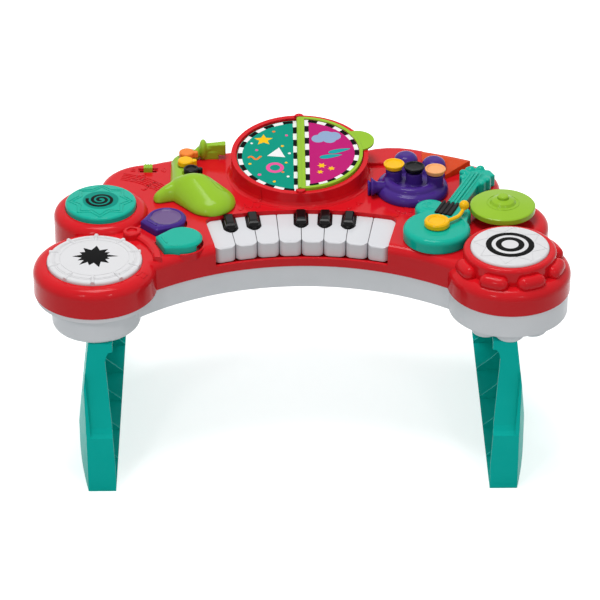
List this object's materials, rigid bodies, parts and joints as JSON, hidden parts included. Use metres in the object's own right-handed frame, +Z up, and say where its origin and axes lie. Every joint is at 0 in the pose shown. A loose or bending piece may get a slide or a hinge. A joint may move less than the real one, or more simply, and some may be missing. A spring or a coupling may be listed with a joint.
{
  "type": "musical activity table",
  "caption": "Crescent-shaped toddler music table on two side legs, with a curved piano keyboard, drum and tambourine pads, cymbal, castanets, guitar, horn, sax and a flip book.",
  "frame": {"origin": "centre of the footprint on the floor", "axes": "+X to the player's right, +Y away from the player, +Z up"},
  "size_m": [0.5999, 0.348, 0.2993],
  "materials": {
    "red_shell": "gloss",
    "grey_tray": "fine grain",
    "leg_teal": "satin",
    "key_white": "gloss",
    "key_black": "gloss",
    "pad_white": "satin with printed rings",
    "teal_gloss": "gloss",
    "lime": "gloss",
    "purple": "gloss",
    "yellow": "gloss",
    "orange": "gloss",
    "peach": "gloss",
    "window_orange": "gloss, slightly see-through",
    "card_teal": "printed card",
    "card_dark": "printed card",
    "card_magenta": "printed card",
    "steel": "drawn",
    "silicone": "matt",
    "inner_plastic": "moulded",
    "board": "lacquered",
    "speaker_black": "matt",
    "battery_cell": "printed sleeve"
  },
  "bodies": {
    "table": {"top_shell": "red_shell", "base_tray": "grey_tray", "leg_left": "leg_teal", "leg_right": "leg_teal", "black_keys": "key_black", "key_rail": "inner_plastic", "key_pins": "steel", "key_domes": "silicone", "pad_domes": "silicone", "castanet_pins": "steel", "book_card_left": "card_teal", "book_card_right": "card_dark", "guitar_body": "teal_gloss", "guitar_pickup": "key_black", "horn_body": "purple", "sax_bell": "lime", "sax_neck": "lime", "light_window": "window_orange", "circuit_board": "board", "speaker": "speaker_black", "battery_door": "grey_tray", "battery_screw": "steel", "batteries": "battery_cell", "shell_screws": "steel"},
    "key_1": {"white_key_1": "key_white"},
    "key_2": {"white_key_2": "key_white"},
    "key_3": {"white_key_3": "key_white"},
    "key_4": {"white_key_4": "key_white"},
    "key_5": {"white_key_5": "key_white"},
    "key_6": {"white_key_6": "key_white"},
    "key_7": {"white_key_7": "key_white"},
    "key_8": {"white_key_8": "key_white"},
    "drum": {"drum_pad": "pad_white"},
    "small_drum": {"small_drum_pad": "teal_gloss"},
    "tambourine": {"tambourine_pad": "pad_white"},
    "cymbal_body": {"cymbal": "lime"},
    "castanet_purple_body": {"castanet_purple": "purple"},
    "castanet_teal_body": {"castanet_teal": "teal_gloss"},
    "page": {"page_frame": "lime", "page_card": "card_magenta"},
    "strummer": {"guitar_strummer": "yellow"},
    "valve_1": {"valve_cap_1": "yellow"},
    "valve_2": {"valve_cap_2": "key_black"},
    "valve_3": {"valve_cap_3": "peach"},
    "sax_key_1_body": {"sax_key_1": "orange"},
    "sax_key_2_body": {"sax_key_2": "yellow"},
    "sax_key_3_body": {"sax_key_3": "key_black"},
    "volume": {"volume_switch": "lime"}
  },
  "joints": [
    {"name": "key_1_hinge", "type": "hinge", "parent": "table", "child": "key_1", "pos_m": [-0.09784, 0.00082, 0.248], "axis": [0.9849, 0.1732, 0], "range_deg": [0, 3.5], "stiffness_Nm_per_rad": 0.3, "springref_deg": -17.19},
    {"name": "key_2_hinge", "type": "hinge", "parent": "table", "child": "key_2", "pos_m": [-0.07037, 0.00749, 0.248], "axis": [0.9923, 0.124, 0], "range_deg": [0, 3.5], "stiffness_Nm_per_rad": 0.3, "springref_deg": -17.19},
    {"name": "key_3_hinge", "type": "hinge", "parent": "table", "child": "key_3", "pos_m": [-0.04242, 0.01197, 0.248], "axis": [0.9972, 0.0745, 0], "range_deg": [0, 3.5], "stiffness_Nm_per_rad": 0.3, "springref_deg": -17.19},
    {"name": "key_4_hinge", "type": "hinge", "parent": "table", "child": "key_4", "pos_m": [-0.01417, 0.01422, 0.248], "axis": [0.9997, 0.0249, 0], "range_deg": [0, 3.5], "stiffness_Nm_per_rad": 0.3, "springref_deg": -17.19},
    {"name": "key_5_hinge", "type": "hinge", "parent": "table", "child": "key_5", "pos_m": [0.01417, 0.01422, 0.248], "axis": [0.9997, -0.0249, 0], "range_deg": [0, 3.5], "stiffness_Nm_per_rad": 0.3, "springref_deg": -17.19},
    {"name": "key_6_hinge", "type": "hinge", "parent": "table", "child": "key_6", "pos_m": [0.04242, 0.01197, 0.248], "axis": [0.9972, -0.0745, 0], "range_deg": [0, 3.5], "stiffness_Nm_per_rad": 0.3, "springref_deg": -17.19},
    {"name": "key_7_hinge", "type": "hinge", "parent": "table", "child": "key_7", "pos_m": [0.07037, 0.00749, 0.248], "axis": [0.9923, -0.124, 0], "range_deg": [0, 3.5], "stiffness_Nm_per_rad": 0.3, "springref_deg": -17.19},
    {"name": "key_8_hinge", "type": "hinge", "parent": "table", "child": "key_8", "pos_m": [0.09784, 0.00082, 0.248], "axis": [0.9849, -0.1732, 0], "range_deg": [0, 3.5], "stiffness_Nm_per_rad": 0.3, "springref_deg": -17.19},
    {"name": "drum_press", "type": "slide", "parent": "table", "child": "drum", "axis": [0, 0, -1], "range_m": [0, 0.0025], "stiffness_N_per_m": 800, "springref_m": -0.004},
    {"name": "small_drum_press", "type": "slide", "parent": "table", "child": "small_drum", "axis": [0, 0, -1], "range_m": [0, 0.0025], "stiffness_N_per_m": 800, "springref_m": -0.004},
    {"name": "tambourine_press", "type": "slide", "parent": "table", "child": "tambourine", "axis": [0, 0, -1], "range_m": [0, 0.0025], "stiffness_N_per_m": 800, "springref_m": -0.004},
    {"name": "cymbal_press", "type": "slide", "parent": "table", "child": "cymbal_body", "axis": [0, 0, -1], "range_m": [0, 0.0025], "stiffness_N_per_m": 800, "springref_m": -0.004},
    {"name": "castanet_purple_hinge", "type": "hinge", "parent": "table", "child": "castanet_purple_body", "pos_m": [-0.17003, -0.03732, 0.259], "axis": [-0.6691, 0.7431, 0], "range_deg": [0, 4], "stiffness_Nm_per_rad": 0.2, "springref_deg": -22.92},
    {"name": "castanet_teal_hinge", "type": "hinge", "parent": "table", "child": "castanet_teal_body", "pos_m": [-0.1553, -0.07547, 0.259], "axis": [-0.3827, 0.9239, 0], "range_deg": [0, 4], "stiffness_Nm_per_rad": 0.2, "springref_deg": -22.92},
    {"name": "page_turn", "type": "hinge", "parent": "table", "child": "page", "pos_m": [0, 0.09395, 0.2885], "axis": [0, -0.9945, -0.1045], "range_deg": [0, 178]},
    {"name": "strummer_swing", "type": "hinge", "parent": "table", "child": "strummer", "pos_m": [0.152, -0.058, 0.262], "axis": [0, 0, 1], "range_deg": [-6, 22], "stiffness_Nm_per_rad": 0.05},
    {"name": "valve_1_press", "type": "slide", "parent": "table", "child": "valve_1", "axis": [0, 0, -1], "range_m": [0, 0.003], "stiffness_N_per_m": 400, "springref_m": -0.004},
    {"name": "valve_2_press", "type": "slide", "parent": "table", "child": "valve_2", "axis": [0, 0, -1], "range_m": [0, 0.003], "stiffness_N_per_m": 400, "springref_m": -0.004},
    {"name": "valve_3_press", "type": "slide", "parent": "table", "child": "valve_3", "axis": [0, 0, -1], "range_m": [0, 0.003], "stiffness_N_per_m": 400, "springref_m": -0.004},
    {"name": "sax_key_1_press", "type": "slide", "parent": "table", "child": "sax_key_1_body", "axis": [0, 0, -1], "range_m": [0, 0.002], "stiffness_N_per_m": 400, "springref_m": -0.004},
    {"name": "sax_key_2_press", "type": "slide", "parent": "table", "child": "sax_key_2_body", "axis": [0, 0, -1], "range_m": [0, 0.002], "stiffness_N_per_m": 400, "springref_m": -0.004},
    {"name": "sax_key_3_press", "type": "slide", "parent": "table", "child": "sax_key_3_body", "axis": [0, 0, -1], "range_m": [0, 0.002], "stiffness_N_per_m": 400, "springref_m": -0.004},
    {"name": "volume_slide", "type": "slide", "parent": "table", "child": "volume", "axis": [1, 0, 0], "range_m": [-0.005, 0.005]}
  ]
}
